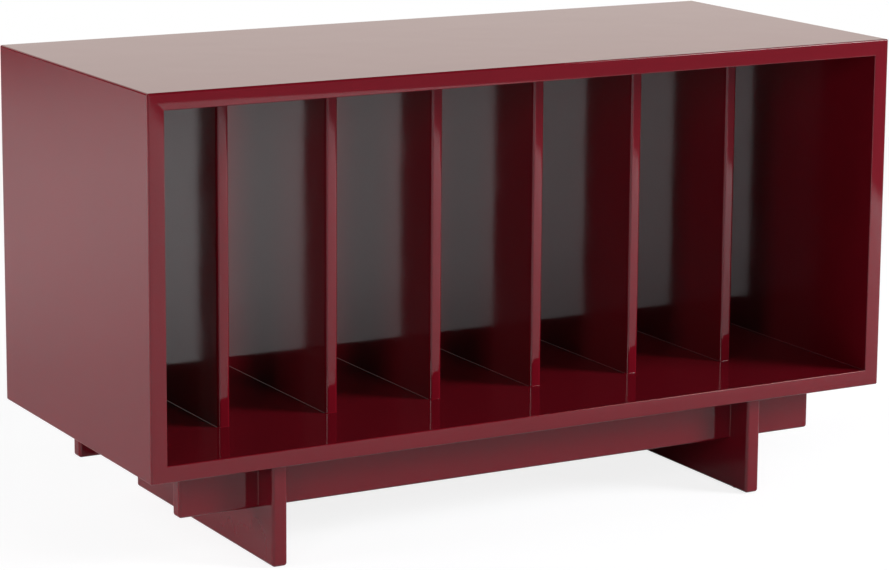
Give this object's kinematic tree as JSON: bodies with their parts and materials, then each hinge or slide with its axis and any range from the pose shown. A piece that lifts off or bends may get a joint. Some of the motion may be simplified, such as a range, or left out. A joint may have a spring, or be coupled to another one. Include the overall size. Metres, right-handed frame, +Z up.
{
  "type": "record cabinet",
  "caption": "Low open record cabinet: a glossy lacquered box with fixed upright dividers on a base of crossed planks, holding record sleeves on edge.",
  "frame": {"origin": "on the floor, under the middle of the cabinet", "axes": "+X to the right seen from the front, +Y from the front to the back, +Z up"},
  "size_m": [0.9, 0.395, 0.51],
  "materials": {
    "burgundy_lacquer": "high-gloss burgundy lacquer on fibreboard",
    "beech": "plain",
    "zinc_plated_steel": "zinc plated",
    "black_nylon": "moulded"
  },
  "bodies": {
    "root": {"top_panel": "burgundy_lacquer", "bottom_panel": "burgundy_lacquer", "left_side_panel": "burgundy_lacquer", "right_side_panel": "burgundy_lacquer", "divider_1": "burgundy_lacquer", "divider_2": "burgundy_lacquer", "divider_3": "burgundy_lacquer", "divider_4": "burgundy_lacquer", "divider_5": "burgundy_lacquer", "divider_6": "burgundy_lacquer", "left_leg": "burgundy_lacquer", "right_leg": "burgundy_lacquer", "front_rail": "burgundy_lacquer", "rear_rail": "burgundy_lacquer", "top_left_spline": "beech", "top_right_spline": "beech", "bottom_left_spline": "beech", "bottom_right_spline": "beech", "divider_top_dowels": "beech", "divider_bottom_dowels": "beech", "bracket_panel_screws": "zinc_plated_steel", "bracket_rail_screws": "zinc_plated_steel", "base_brackets": "zinc_plated_steel", "foot_glides": "black_nylon"}
  },
  "joints": []
}
